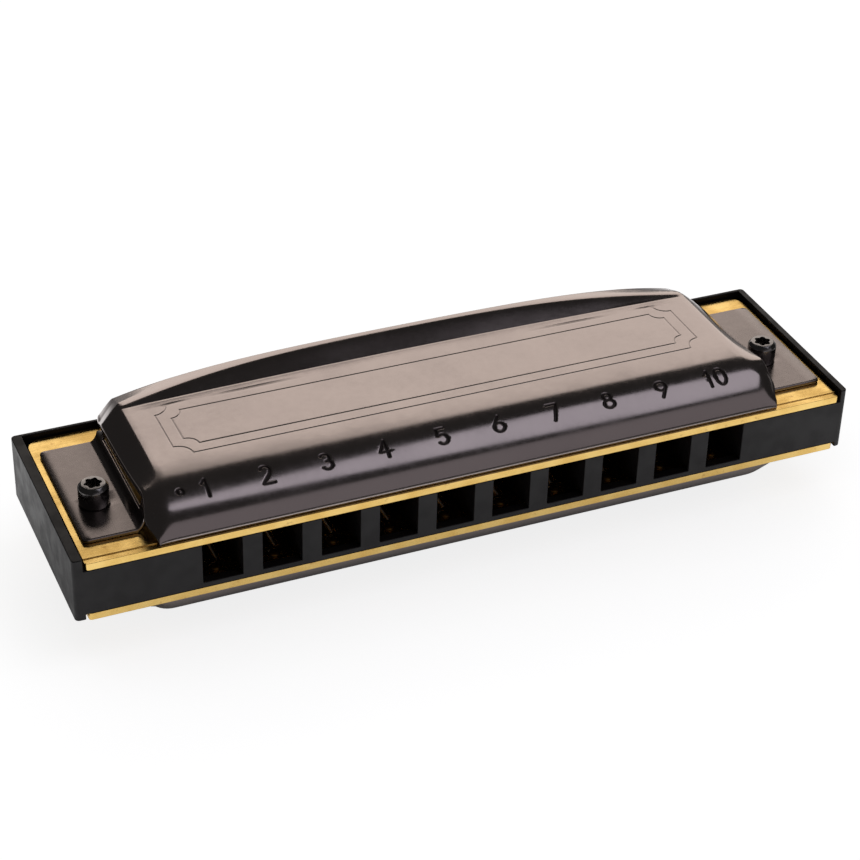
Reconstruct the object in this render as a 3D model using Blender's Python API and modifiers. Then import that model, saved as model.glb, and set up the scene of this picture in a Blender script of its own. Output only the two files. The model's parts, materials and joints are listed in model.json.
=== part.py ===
"""Ten-hole diatonic harmonica with a black moulded comb, brass reed plates and black covers.

Frame: +X along the hole row towards hole 10, -Y towards the player's mouth, +Z up.
The origin is under the middle of the comb, level with the lowest line of the lower cover.
Lengths below are in millimetres and become metres through MM.
"""
import math

import bmesh
import bpy
from mathutils import Matrix, Vector

MM = 0.001

# comb: one moulding with a raised rim round three sides of each reed plate
COMB_LENGTH = 103.3
COMB_DEPTH = 27.83
COMB_CORE = 6.22
COMB_TOP_RIM = 1.68
COMB_FOOT_RIM = 0.75
END_RIMS = (1.3, 0.9)
BACK_RIM = 0.5
PLATE_GAP = 0.3
COMB_EDGE_ROUND = 0.55

# ten holes, not quite central in the comb
HOLES = 10
HOLE_PITCH = 7.5
HOLE_WIDTH = 4.98
HOLE_ROW_X = 0.25
SILL_HEIGHT = 0.7
SILL_DEPTH = 1.3

# brass reed plates
PLATE_THICK = 0.94
SEAT = 0.03
PLATE_BACK_ROUND = 1.9
PLATE_FRONT_ROUND = 0.45
GROOVE_FRONT = 0.33
GROOVE_WIDTH = 0.8
GROOVE_DEPTH = 0.12

# reeds: each is riveted near the mouth and swings through its own slot
RIVET_Y = 3.4
SLOT_START = 4.95
SLOT_WIDTH = 2.4
LONGEST_SLOT = 17.2
SHORTEST_SLOT = 9.0
CHAMBER_BEYOND_SLOT = 0.8
REED_WIDTH = 2.3
REED_THICK = 0.24
REED_SEAT = 0.08
REED_TIP_GAP = 0.2
REED_PAD_WIDTH = 2.6
REED_PAD_HALF = 1.3
RIVET_SHANK_R = 0.5
RIVET_HEAD_R = 0.8
RIVET_HEAD_H = 0.34
RIVET_HOLE_R = 0.56
RIVET_PLAY = 0.07

# covers: 0.5 mm sheet, domed, with a flat tab at each end
SHEET = 0.5
COVER_CX = 0.25
FRONT_EDGE_Y = 0.45
FRONT_EDGE_RISE = 0.25
FRONT_ROUND = 7.36
FRONT_ROUND_Y = 7.26
FLAT_RISE = 4.81
FOOT_Y = 23.25
FOOT_CURVE = 0.0005
REAR_SLOPE = 0.4245
REAR_EDGE_Y = 27.3
REAR_EDGE_RISE = 6.04
REAR_BEND = 0.45
REAR_LIP_SHARE = 0.62
REAR_LIP_FOOT = 1.05
CREST_ROUND = 1.5
REAR_STATIONS = (22.7, 23.4, 24.4, 25.3, 26.0, 26.35, 26.85, REAR_EDGE_Y)
FLAT_HALF = 38.9
END_HALF = 41.4
TAB_IN = (43.1, 42.5)
TAB_OUT = 49.5
TAB_FRONT = 3.8
TAB_BACK = 23.4
TAB_CORNER = 0.5
VENT_FRONT = 5.6
VENT_BACK = 21.6
SEAT_COVER = 0.04

# two through bolts and their nuts hold the covers
BOLT_X = (-45.85, 44.85)
BOLT_Y = 10.8
BOLT_HEAD_R = 1.86
BOLT_HEAD_H = 2.8
BOLT_SHANK_R = 1.0
BOLT_HOLE_R = 1.15
SOCKET_R = 0.98
SOCKET_DEPTH = 1.4
NUT_ACROSS = 3.7
NUT_H = 1.6

# small screws that hold each reed plate to the comb
SCREW_SPOTS = ((-38.6, 8.0), (38.6, 8.0), (-22.5, 25.2), (0.0, 25.2), (22.5, 25.2))
SCREW_HEAD_R = 1.2
SCREW_HEAD_H = 0.7
SCREW_SHANK_R = 0.6
SCREW_HOLE_R = 0.68
SCREW_LENGTH = 3.6



def rear_rise(y, x):
    """Rise of the dome behind its flat: a slope up to the crest, then a gentle fall to the rear edge."""
    square = x * x
    edge = REAR_EDGE_RISE - 0.00035 * square - 8.6e-7 * square * square
    fall = 0.176 + 0.2 * (x / 38.0) ** 4
    up = FLAT_RISE + REAR_SLOPE * (y - FOOT_Y + FOOT_CURVE * square)
    down = edge + fall * (REAR_EDGE_Y - y)
    turn = CREST_ROUND * ((REAR_SLOPE + fall) / 2) ** 2
    roof = (up + down) / 2 - math.hypot((up - down) / 2, turn)
    return max(roof, min(FLAT_RISE, down))


HALF_CORE = COMB_CORE / 2
PLATE_FACE = HALF_CORE + SEAT + PLATE_THICK
CREST_RISE = max(rear_rise(y, 0.0) for y in REAR_STATIONS)
MID_Z = PLATE_FACE + SEAT_COVER + CREST_RISE

BLACK_PLASTIC = ("comb_plastic", (0.022, 0.021, 0.023), 0.42, 0.0)
BRASS = ("plate_brass", (0.72, 0.50, 0.20), 0.32, 1.0)
REED_BRASS = ("reed_brass", (0.66, 0.44, 0.17), 0.26, 1.0)
ENAMEL = ("cover_enamel", (0.016, 0.015, 0.016), 0.24, 0.0)
BLACK_STEEL = ("bolt_black_steel", (0.05, 0.05, 0.052), 0.34, 1.0)
BRIGHT_STEEL = ("screw_steel", (0.55, 0.54, 0.52), 0.30, 1.0)


def clear_scene():
    for item in list(bpy.data.objects):
        bpy.data.objects.remove(item, do_unlink=True)


def collection(name):
    made = bpy.data.collections.new(name)
    bpy.context.scene.collection.children.link(made)
    return made


def material(look):
    name, colour, roughness, metallic = look
    made = bpy.data.materials.get(name)
    if made is None:
        made = bpy.data.materials.new(name)
        made.use_nodes = True
        shader = made.node_tree.nodes["Principled BSDF"]
        shader.inputs["Base Color"].default_value = (*colour, 1.0)
        shader.inputs["Roughness"].default_value = roughness
        shader.inputs["Metallic"].default_value = metallic
        made.diffuse_color = (*colour, 1.0)
    return made


def place(mesh_builder, name, home, look=None, at=(0.0, 0.0, 0.0)):
    """Turn a bmesh given in millimetres into an object whose origin is at the given point."""
    mesh = bpy.data.meshes.new(name)
    bmesh.ops.scale(mesh_builder, vec=(MM, MM, MM), verts=mesh_builder.verts)
    mesh_builder.to_mesh(mesh)
    mesh_builder.free()
    made = bpy.data.objects.new(name, mesh)
    made.location = Vector(at) * MM
    home.objects.link(made)
    if look is None:
        made.hide_render = True
        made.display_type = "WIRE"
    else:
        mesh.materials.append(material(look))
    return made


def add_box(builder, x0, x1, y0, y1, z0, z1):
    middle = Vector(((x0 + x1) / 2, (y0 + y1) / 2, (z0 + z1) / 2))
    size = Matrix.Diagonal((x1 - x0, y1 - y0, z1 - z0, 1.0))
    return bmesh.ops.create_cube(builder, size=1.0, matrix=Matrix.Translation(middle) @ size)


def add_rod(builder, x, y, z0, z1, radius, sides, turn=0.0):
    where = Matrix.Translation((x, y, (z0 + z1) / 2)) @ Matrix.Rotation(turn, 4, "Z")
    return bmesh.ops.create_cone(
        builder,
        cap_ends=True,
        segments=sides,
        radius1=radius,
        radius2=radius,
        depth=z1 - z0,
        matrix=where,
    )


def cut(target, cutter):
    """Subtract the cutter and keep the modifier live."""
    step = target.modifiers.new("cut_" + cutter.name[:30], "BOOLEAN")
    step.operation = "DIFFERENCE"
    step.solver = "EXACT"
    step.object = cutter


def bevel_upright_edges(builder, choose, radius, segments):
    edges = []
    for edge in builder.edges:
        a, b = edge.verts
        upright = abs(a.co.x - b.co.x) < 1e-6 and abs(a.co.y - b.co.y) < 1e-6
        if upright and choose(a.co):
            edges.append(edge)
    bmesh.ops.bevel(builder, geom=edges, offset=radius, segments=segments, profile=0.5, affect="EDGES")


def y_from_mouth(distance):
    """Distance behind the mouth face as a Y coordinate."""
    return distance - COMB_DEPTH / 2


def hole_x(number):
    return HOLE_ROW_X + (number - (HOLES - 1) / 2) * HOLE_PITCH


def slot_length(number):
    return LONGEST_SLOT + (SHORTEST_SLOT - LONGEST_SLOT) * number / (HOLES - 1)


def build_comb(parts, cutters):
    half = COMB_LENGTH / 2
    front = y_from_mouth(0.0)
    back = y_from_mouth(COMB_DEPTH)
    low = MID_Z - HALF_CORE
    high = MID_Z + HALF_CORE
    body = bmesh.new()
    add_box(body, -half, half, front, back, low - COMB_FOOT_RIM, high + COMB_TOP_RIM)
    bevel_upright_edges(body, lambda co: True, COMB_EDGE_ROUND, 3)
    comb = place(body, "comb", parts, BLACK_PLASTIC)

    seats = bmesh.new()
    left, right = END_RIMS[0] - half, half - END_RIMS[1]
    inner_back = back - BACK_RIM
    add_box(seats, left, right, front - 2, inner_back, high, high + 4)
    add_box(seats, left, right, front - 2, inner_back, low - 4, low)
    cut(comb, place(seats, "comb_plate_seats", cutters))

    mouths = bmesh.new()
    chambers = bmesh.new()
    for number in range(HOLES):
        left = hole_x(number) - HOLE_WIDTH / 2
        right = hole_x(number) + HOLE_WIDTH / 2
        end = y_from_mouth(SLOT_START + slot_length(number) + CHAMBER_BEYOND_SLOT)
        add_box(mouths, left, right, front - 2, front + SILL_DEPTH + 1, low + SILL_HEIGHT, high + 1)
        add_box(chambers, left, right, front + SILL_DEPTH, end, low - 1, high + 1)
    cut(comb, place(mouths, "comb_mouths", cutters))
    cut(comb, place(chambers, "comb_chambers", cutters))

    drills = bmesh.new()
    for x in BOLT_X:
        add_rod(drills, x, y_from_mouth(BOLT_Y), low - 3, high + 3, BOLT_HOLE_R, 12)
    for x, y in SCREW_SPOTS:
        add_rod(drills, x + HOLE_ROW_X, y_from_mouth(y), low - 3, high + 3, SCREW_HOLE_R, 8)
    cut(comb, place(drills, "comb_drillings", cutters))
    return comb


def build_plate(parts, cutters, name, side):
    """A brass plate on the comb's upper face (side 1) or lower face (side -1)."""
    left = END_RIMS[0] + PLATE_GAP - COMB_LENGTH / 2
    right = COMB_LENGTH / 2 - END_RIMS[1] - PLATE_GAP
    front = y_from_mouth(0.0)
    back = y_from_mouth(COMB_DEPTH - BACK_RIM - PLATE_GAP)
    inner = MID_Z + side * (HALF_CORE + SEAT)
    outer = MID_Z + side * PLATE_FACE
    low, high = sorted((inner, outer))
    body = bmesh.new()
    add_box(body, left, right, front, back, low, high)
    bevel_upright_edges(body, lambda co: co.y > 0, PLATE_BACK_ROUND, 4)
    bevel_upright_edges(body, lambda co: co.y < 0, PLATE_FRONT_ROUND, 2)
    plate = place(body, name, parts, BRASS)

    tools = bmesh.new()
    for number in range(HOLES):
        x = hole_x(number)
        start = y_from_mouth(SLOT_START)
        add_box(tools, x - SLOT_WIDTH / 2, x + SLOT_WIDTH / 2, start, start + slot_length(number), low - 1, high + 1)
        add_rod(tools, x, y_from_mouth(RIVET_Y), low - 1, high + 1, RIVET_HOLE_R, 8)
    for x in BOLT_X:
        add_rod(tools, x, y_from_mouth(BOLT_Y), low - 1, high + 1, BOLT_HOLE_R, 12)
    for x, y in SCREW_SPOTS:
        add_rod(tools, x + HOLE_ROW_X, y_from_mouth(y), low - 1, high + 1, SCREW_HOLE_R, 8)
    cut(plate, place(tools, name + "_punch", cutters))

    groove = bmesh.new()
    z0, z1 = sorted((outer - side * GROOVE_DEPTH, outer + side * 1.0))
    y0 = y_from_mouth(GROOVE_FRONT)
    add_box(groove, left - 1, right + 1, y0, y0 + GROOVE_WIDTH, z0, z1)
    cut(plate, place(groove, name + "_groove", cutters))
    return plate


def build_reed(parts, cutters, name, number, face, outward):
    """A riveted reed. It lies on the plate face at height face, and outward is the way off the plate."""
    x = hole_x(number)
    root = y_from_mouth(RIVET_Y)
    length = SLOT_START - RIVET_Y + slot_length(number) - 0.12
    pad = REED_PAD_WIDTH / 2
    tongue = REED_WIDTH / 2
    neck = REED_PAD_HALF
    outline = [(-pad, -REED_PAD_HALF), (pad, -REED_PAD_HALF), (pad, neck - 0.35), (tongue, neck)]
    outline += [(tongue, length * 0.55), (tongue, length)]
    outline += [(-tongue, length), (-tongue, length * 0.55), (-tongue, neck), (-pad, neck - 0.35)]
    body = bmesh.new()
    ring = [body.verts.new((px, py, 0.0)) for px, py in outline]
    sheet = body.faces.new(ring)
    body.normal_update()
    grown = bmesh.ops.extrude_face_region(body, geom=[sheet])
    for item in grown["geom"]:
        if isinstance(item, bmesh.types.BMVert):
            item.co.z += REED_THICK
    bmesh.ops.connect_verts_concave(body, faces=body.faces)
    for vert in body.verts:
        along = max(0.0, (vert.co.y - neck) / (length - neck))
        vert.co.z += REED_SEAT + REED_TIP_GAP * along * along
        vert.co.z *= outward
    bmesh.ops.recalc_face_normals(body, faces=body.faces)
    reed = place(body, name, parts, REED_BRASS, at=(x, root, face))
    hole = bmesh.new()
    add_rod(hole, x, root, face - 1.5, face + 1.5, RIVET_HOLE_R, 8)
    cut(reed, place(hole, name + "_hole", cutters))
    return reed


def turned(parts, name, profile, steps, look, at):
    """A solid of revolution from a profile (radius, height) that runs down its outer side."""
    body = bmesh.new()
    verts = [body.verts.new((radius, 0.0, height)) for radius, height in profile]
    for a, b in zip(verts, verts[1:]):
        body.edges.new((a, b))
    made = place(body, name, parts, look, at)
    spin = made.modifiers.new("turn", "SCREW")
    spin.angle = 2 * math.pi
    spin.steps = steps
    spin.render_steps = steps
    spin.axis = "Z"
    spin.use_merge_vertices = True
    spin.merge_threshold = 0.00001
    spin.use_smooth_shade = False
    return made


def build_rivet(parts, name, number, side, reed_inside):
    """A rivet through plate and reed, with a head on both ends."""
    inner = HALF_CORE + SEAT
    reed = REED_SEAT + REED_THICK + RIVET_PLAY
    if reed_inside:
        low, high = inner - reed, PLATE_FACE + 0.02
    else:
        low, high = inner - 0.02, PLATE_FACE + reed
    if side < 0:
        low, high = -high, -low
    dome = RIVET_HEAD_H
    profile = [(0.0, high + dome), (RIVET_HEAD_R * 0.62, high + dome), (RIVET_HEAD_R, high + dome * 0.45)]
    profile += [(RIVET_HEAD_R, high), (RIVET_SHANK_R, high), (RIVET_SHANK_R, low), (RIVET_HEAD_R, low)]
    profile += [(RIVET_HEAD_R, low - dome * 0.45), (RIVET_HEAD_R * 0.62, low - dome), (0.0, low - dome)]
    return turned(parts, name, profile, 8, BRASS, (hole_x(number), y_from_mouth(RIVET_Y), MID_Z))


def front_rise(y):
    """Rise of the rounded front face, which blends into the flat top."""
    return FLAT_RISE - FRONT_ROUND + math.sqrt(FRONT_ROUND**2 - (FRONT_ROUND_Y - y) ** 2)


def dome_rise(y, x):
    """Rise of the dome above the reed plate between the front edge and the rear edge."""
    if y <= FRONT_ROUND_Y:
        return front_rise(y)
    return rear_rise(y, x) if y > VENT_BACK else FLAT_RISE


def end_half(y):
    """Half length of the dome: it bulges a little just behind the front corners."""
    bulge = 0.45 * math.exp(-(((y - 3.2) / 1.2) ** 2))
    tuck = 0.4 * math.exp(-y / 0.8)
    rear = 0.034 * max(0.0, y - 22.6) ** 2
    return END_HALF + bulge - tuck - rear


def end_drop(y):
    """How far the dome's end edge lies below the dome's own profile."""
    cheek = 1.35 * math.exp(-((abs(y - 2.9) / 1.85) ** 3))
    drop = cheek + 1.75 * (1 - math.exp(-max(0.0, y - 4.8) / 5.0))
    return drop + 0.08 * max(0.0, y - 22.4)


def dome_rows(x):
    """Outer surface of the dome in the plane at x from the cover's middle: (distance, rise) pairs."""
    rows = [(FRONT_EDGE_Y, 0.0), (FRONT_EDGE_Y, FRONT_EDGE_RISE)]
    flat = (0.85, 1.45, 2.2, 3.0, TAB_FRONT, 4.7, VENT_FRONT, 6.5, 7.6, 12.0, 17.0, VENT_BACK)
    rows += [(y, dome_rise(y, x)) for y in flat + REAR_STATIONS]
    edge = rows[-1][1]
    lip = REAR_LIP_SHARE * (edge - REAR_LIP_FOOT)
    rows += [(REAR_EDGE_Y + 0.72 * REAR_BEND, edge - 0.3), (REAR_EDGE_Y + REAR_BEND, edge - 0.3 - 0.25 * lip)]
    return rows + [(REAR_EDGE_Y + 0.7 * REAR_BEND, edge - lip)]


def cover_columns(row, stations):
    """Points across the cover at one station, from the left tab's outer edge to the right one's."""
    y = stations[row][0]
    lip_x = end_half(y)
    right = []
    for share in (0.0, 0.25, 0.46, 0.65, 0.82, 0.93, 1.0):
        x = FLAT_HALF * share
        right.append((x, dome_rows(x)[row]))
    bend = 2.6 if y < 4.5 else 1.3
    for share in (0.35, 0.7, 1.0):
        x = FLAT_HALF + (lip_x - FLAT_HALF) * share
        ry, rz = dome_rows(x)[row]
        right.append((x, (ry, rz - min(end_drop(y), 0.5 * rz) * share**bend)))
    ry, rz = right[-1][1]
    turn = min(1.0, rz / 1.6)
    right.append((lip_x + 0.06 + 0.24 * turn, (ry, rz - 0.7 * turn)))
    left = [(-x, spot) for x, spot in right[:0:-1]]
    if TAB_FRONT - 1e-6 <= y <= TAB_BACK + 1e-6:
        tabs = [end_tab(y, inner) for inner in TAB_IN]
        left = [(-x, spot) for x, spot in tabs[0][::-1]] + left
        right = right + tabs[1]
    return left + right


def end_tab(y, inner):
    """Upturned inner edge and flat of an end tab at one station, going outwards."""
    top = SHEET
    corner = TAB_CORNER if y in (TAB_FRONT, TAB_BACK) else 0.0
    points = [(inner - 0.6, (y, top + 0.86)), (inner - 0.42, (y, top + 0.24))]
    return points + [(inner, (y, top)), (TAB_OUT - corner, (y, top))]


def build_cover(parts, cutters, name, side):
    """A pressed sheet cover: dome, arched rear crest, vented ends and bolt tabs."""
    sheet = bmesh.new()
    stations = dome_rows(0.0)
    count = len(stations)
    tab_row = [y for y, rise in stations].index(TAB_FRONT)
    tabs = len(cover_columns(tab_row, stations))
    domes = len(cover_columns(0, stations))
    spare = (tabs - domes) // 2
    grid = []
    for row in range(count):
        points = cover_columns(row, stations)
        shift = 0 if len(points) == tabs else spare
        line = {}
        for index, (x, (y, rise)) in enumerate(points):
            seat = PLATE_FACE + SEAT_COVER if row > 1 else PLATE_FACE + SEAT_COVER - GROOVE_DEPTH * (1 - row)
            z = MID_Z + side * (seat + rise)
            line[index + shift] = sheet.verts.new((x + COVER_CX, y_from_mouth(y), z))
        grid.append(line)
    for row in range(count - 1):
        for column in range(tabs - 1):
            keys = ((row, column), (row, column + 1), (row + 1, column + 1), (row + 1, column))
            if any(k not in grid[r] for r, k in keys):
                continue
            vent_column = column in (spare - 1, tabs - 1 - spare)
            middle = (stations[row][0] + stations[row + 1][0]) / 2
            if vent_column and VENT_FRONT < middle < VENT_BACK:
                continue
            ring = [grid[r][k] for r, k in keys]
            sheet.faces.new(ring if side > 0 else ring[::-1])
    sheet.normal_update()
    cover = place(sheet, name, parts, ENAMEL)
    thick = cover.modifiers.new("sheet", "SOLIDIFY")
    thick.thickness = SHEET * MM
    thick.offset = -1.0
    thick.use_even_offset = True
    thick.use_quality_normals = True

    drill = bmesh.new()
    z0, z1 = sorted((MID_Z + side * (PLATE_FACE - 0.5), MID_Z + side * (PLATE_FACE + 2.0)))
    for x in BOLT_X:
        add_rod(drill, x, y_from_mouth(BOLT_Y), z0, z1, BOLT_HOLE_R, 12)
    cut(cover, place(drill, name + "_drill", cutters))
    return cover


def build_bolt(parts, cutters, name, x):
    """Tall cap-head bolt with a six-lobe socket, from the upper tab down through everything."""
    seat = PLATE_FACE + SEAT_COVER * 2 + SHEET
    top = seat + BOLT_HEAD_H
    foot = -(seat + NUT_H + 0.35)
    profile = [(0.0, top), (BOLT_HEAD_R - 0.42, top), (BOLT_HEAD_R, top - 0.42), (BOLT_HEAD_R, seat)]
    profile += [(BOLT_SHANK_R, seat), (BOLT_SHANK_R, foot + 0.3), (BOLT_SHANK_R - 0.3, foot), (0.0, foot)]
    y = y_from_mouth(BOLT_Y)
    bolt = turned(parts, name, profile, 24, BLACK_STEEL, (x, y, MID_Z))
    socket = bmesh.new()
    ring = []
    for step in range(24):
        angle = 2 * math.pi * step / 24
        radius = SOCKET_R * (1.0 + 0.13 * math.cos(6 * angle))
        ring.append(socket.verts.new((radius * math.cos(angle), radius * math.sin(angle), 0.0)))
    lid = socket.faces.new(ring)
    grown = bmesh.ops.extrude_face_region(socket, geom=[lid])
    for item in grown["geom"]:
        if isinstance(item, bmesh.types.BMVert):
            item.co.z += SOCKET_DEPTH + 1.0
    bmesh.ops.recalc_face_normals(socket, faces=socket.faces)
    cut(bolt, place(socket, name + "_socket", cutters, at=(x, y, MID_Z + top - SOCKET_DEPTH)))
    return bolt


def build_nut(parts, cutters, name, x):
    """Plain hexagon nut under the lower tab."""
    seat = PLATE_FACE + SEAT_COVER * 2 + SHEET
    y = y_from_mouth(BOLT_Y)
    body = bmesh.new()
    radius = NUT_ACROSS / 2 / math.cos(math.pi / 6)
    add_rod(body, 0.0, 0.0, -seat - NUT_H, -seat, radius, 6, math.pi / 6)
    nut = place(body, name, parts, BLACK_STEEL, (x, y, MID_Z))
    chamfer = nut.modifiers.new("edges", "BEVEL")
    chamfer.width = 0.18 * MM
    chamfer.segments = 1
    chamfer.limit_method = "ANGLE"
    bore = bmesh.new()
    add_rod(bore, x, y, MID_Z - seat - NUT_H - 1, MID_Z - seat + 1, BOLT_SHANK_R + 0.06, 12)
    cut(nut, place(bore, name + "_bore", cutters))
    return nut


def build_plate_screw(parts, cutters, name, spot, side):
    """Small pan-head screw with a straight slot, through a reed plate into the comb."""
    x, y = spot[0] + HOLE_ROW_X, y_from_mouth(spot[1])
    seat = PLATE_FACE + 0.03
    foot = seat - SCREW_LENGTH
    profile = [(0.0, SCREW_HEAD_H), (SCREW_HEAD_R * 0.7, SCREW_HEAD_H), (SCREW_HEAD_R, SCREW_HEAD_H * 0.55)]
    profile += [(SCREW_HEAD_R, 0.0), (SCREW_SHANK_R, 0.0), (SCREW_SHANK_R, foot - seat + 0.4)]
    profile += [(0.0, foot - seat)]
    if side < 0:
        profile = [(radius, -height) for radius, height in profile[::-1]]
    screw = turned(parts, name, profile, 10, BRIGHT_STEEL, (x, y, MID_Z + side * seat))
    slot = bmesh.new()
    z0, z1 = sorted((side * (SCREW_HEAD_H - 0.3), side * (SCREW_HEAD_H + 0.5)))
    add_box(slot, -2.0, 2.0, -0.16, 0.16, z0, z1)
    cut(screw, place(slot, name + "_slot", cutters, at=(x, y, MID_Z + side * seat)))
    return screw


def build():
    clear_scene()
    parts = collection("harmonica")
    cutters = collection("harmonica_cutters")
    build_comb(parts, cutters)
    build_plate(parts, cutters, "upper_reed_plate", 1)
    build_plate(parts, cutters, "lower_reed_plate", -1)
    for number in range(HOLES):
        tag = "%02d" % (number + 1)
        inside = MID_Z + HALF_CORE + SEAT
        outside = MID_Z - PLATE_FACE
        build_reed(parts, cutters, "blow_reed_" + tag, number, inside, -1)
        build_reed(parts, cutters, "draw_reed_" + tag, number, outside, -1)
        build_rivet(parts, "blow_rivet_" + tag, number, 1, True)
        build_rivet(parts, "draw_rivet_" + tag, number, -1, False)
    build_cover(parts, cutters, "upper_cover", 1)
    build_cover(parts, cutters, "lower_cover", -1)
    for label, x in zip(("left", "right"), BOLT_X):
        build_bolt(parts, cutters, label + "_bolt", x)
        build_nut(parts, cutters, label + "_nut", x)
    for index, spot in enumerate(SCREW_SPOTS):
        build_plate_screw(parts, cutters, "upper_plate_screw_%d" % (index + 1), spot, 1)
        build_plate_screw(parts, cutters, "lower_plate_screw_%d" % (index + 1), spot, -1)


build()
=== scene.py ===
"""Detailed look of the ten-hole harmonica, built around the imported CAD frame.

Lengths are millimetres until they are written to a mesh, where MM turns them into metres. On the covers
y runs backwards from the comb's mouth face and a rise is measured outwards from the seat on the reed plate.
"""

import json
import math

import bmesh
import bpy
import numpy as np
from mathutils import Matrix, Vector


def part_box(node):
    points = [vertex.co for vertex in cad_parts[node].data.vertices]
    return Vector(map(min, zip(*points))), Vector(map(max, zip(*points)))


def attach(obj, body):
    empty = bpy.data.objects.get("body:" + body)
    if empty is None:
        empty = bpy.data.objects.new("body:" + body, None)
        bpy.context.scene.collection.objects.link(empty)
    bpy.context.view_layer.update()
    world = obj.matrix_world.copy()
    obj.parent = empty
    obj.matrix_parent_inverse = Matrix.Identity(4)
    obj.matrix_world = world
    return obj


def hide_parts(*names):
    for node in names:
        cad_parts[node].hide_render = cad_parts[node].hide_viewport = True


MM = 0.001

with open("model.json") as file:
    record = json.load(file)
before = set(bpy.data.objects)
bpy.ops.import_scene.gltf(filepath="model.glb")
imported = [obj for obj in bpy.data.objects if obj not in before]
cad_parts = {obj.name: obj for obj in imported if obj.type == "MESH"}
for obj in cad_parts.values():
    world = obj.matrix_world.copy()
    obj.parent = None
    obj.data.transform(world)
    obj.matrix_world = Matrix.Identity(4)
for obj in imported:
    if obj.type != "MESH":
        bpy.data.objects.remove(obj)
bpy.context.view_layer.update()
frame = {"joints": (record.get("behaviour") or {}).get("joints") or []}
ROOT = "harmonica_body"


def box_mm(node):
    """Lowest and highest corner of a CAD node in millimetres."""
    low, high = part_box(node)
    return np.array(low) / MM, np.array(high) / MM


def upright_box(node):
    """Middle x and y of a node, its foot and top, and its half width."""
    low, high = box_mm(node)
    x, y, _ = (low + high) / 2
    return x, y, low[2], high[2], (high[0] - low[0]) / 2


COMB_LOW, COMB_HIGH = box_mm("comb")
PLATE_LOW, PLATE_HIGH = box_mm("upper_reed_plate")
MOUTH = COMB_LOW[1]
MID_Z = (PLATE_HIGH[2] + box_mm("lower_reed_plate")[0][2]) / 2
PLATE_FACE = PLATE_HIGH[2] - MID_Z
PLATE_THICK = PLATE_HIGH[2] - PLATE_LOW[2]
PLATE_GAP = 0.03
HALF_CORE = PLATE_FACE - PLATE_THICK - PLATE_GAP
HOLE_X = [
    joint["pos_m"][0] / MM for joint in frame["joints"] if joint["name"].startswith("blow")
]
RIVET_Y = frame["joints"][0]["pos_m"][1] / MM - MOUTH
BOLTS = [upright_box(name)[:2] for name in ("left_bolt", "right_bolt")]

# comb
END_RIMS = (1.3, 0.9)
BACK_RIM = 0.5
HOLE_WIDTH = 4.98
SILL_HEIGHT, SILL_DEPTH = 0.7, 1.3
CORNER_ROUND = 0.55
PAST_SLOT = 0.8

# reed plates
SLOT_START = 4.95
SLOT_WIDTH = 2.4
SLOT_LONG, SLOT_SHORT = 17.2, 9.0
PLATE_BACK_ROUND, PLATE_FRONT_ROUND = 1.9, 0.45
SCREW_HOLE_R, RIVET_HOLE_R = 0.68, 0.56
GROOVE_FRONT, GROOVE_WIDTH, GROOVE_DEPTH = 0.33, 0.8, 0.12

# covers
SHEET, SEAT = 0.5, 0.04
COVER_X = 0.25
FRONT_EDGE_Y, FRONT_EDGE_RISE = 0.45, 0.25
FRONT_ROUND, FRONT_ROUND_Y = 7.36, 7.26
FLAT_RISE = 4.81
PANEL_BEND_Y, PANEL_FRONT_Y = 10.5, 6.9
FLAT_BACK_Y = 21.9
FOOT_Y = 23.25
FOOT_CURVE = 0.0005
FOOT_STEP = 0.05
FOOT_PULL = (20.6, 22.9, 23.7, 26.4)
REAR_SLOPE = 0.4245
REAR_EDGE_Y, REAR_EDGE_RISE = 27.3, 6.04
REAR_ARCH = (0.00035, 8.6e-7)
REAR_FALL, REAR_FALL_MORE = 0.176, 0.2
REAR_BEND = 0.45
REAR_LIP_SHARE, REAR_LIP_FOOT = 0.62, 1.05
CREST_ROUND = 1.5
FLAT_HALF, END_HALF = 38.9, 41.4
TAB_IN = (43.1, 42.5)
TAB_OUT = 49.38
TAB_FRONT, TAB_BACK = 3.8, 23.4
TAB_CORNER = 0.5
VENT_FRONT, VENT_BACK = 5.6, 21.6
BOLT_Y, BOLT_HOLE_R = 10.8, 1.15


# ---- meshes


def in_scene(name, data):
    made = bpy.data.objects.new(name, data)
    bpy.context.scene.collection.objects.link(made)
    return made


def new_object(name, points, faces, material):
    """A smooth object from points in millimetres and faces as index lists."""
    mesh = bpy.data.meshes.new(name)
    mesh.from_pydata([tuple(p) for p in np.asarray(points) * MM], [], [tuple(f) for f in faces])
    mesh.validate()
    mesh.shade_smooth()
    mesh.update()
    mesh.materials.append(material)
    return in_scene(name, mesh)


def from_builder(name, builder, material):
    """A flat-shaded object from a bmesh given in millimetres."""
    mesh = bpy.data.meshes.new(name)
    bmesh.ops.scale(builder, vec=(MM, MM, MM), verts=builder.verts)
    builder.to_mesh(mesh)
    builder.free()
    if material:
        mesh.materials.append(material)
    return in_scene(name, mesh)


def add_box(builder, low, high):
    low, high = Vector(low), Vector(high)
    scale = Matrix.Diagonal((*(high - low), 1.0))
    bmesh.ops.create_cube(builder, size=1.0, matrix=Matrix.Translation((low + high) / 2) @ scale)


def add_rod(builder, x, y, z0, z1, radius, sides, upper_radius=None):
    """Upright rod, or a cone if its upper radius differs."""
    where = Matrix.Translation((x, y, (z0 + z1) / 2))
    radii = {"radius1": radius, "radius2": radius if upper_radius is None else upper_radius}
    bmesh.ops.create_cone(builder, cap_ends=True, segments=sides, depth=z1 - z0, matrix=where, **radii)


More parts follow.
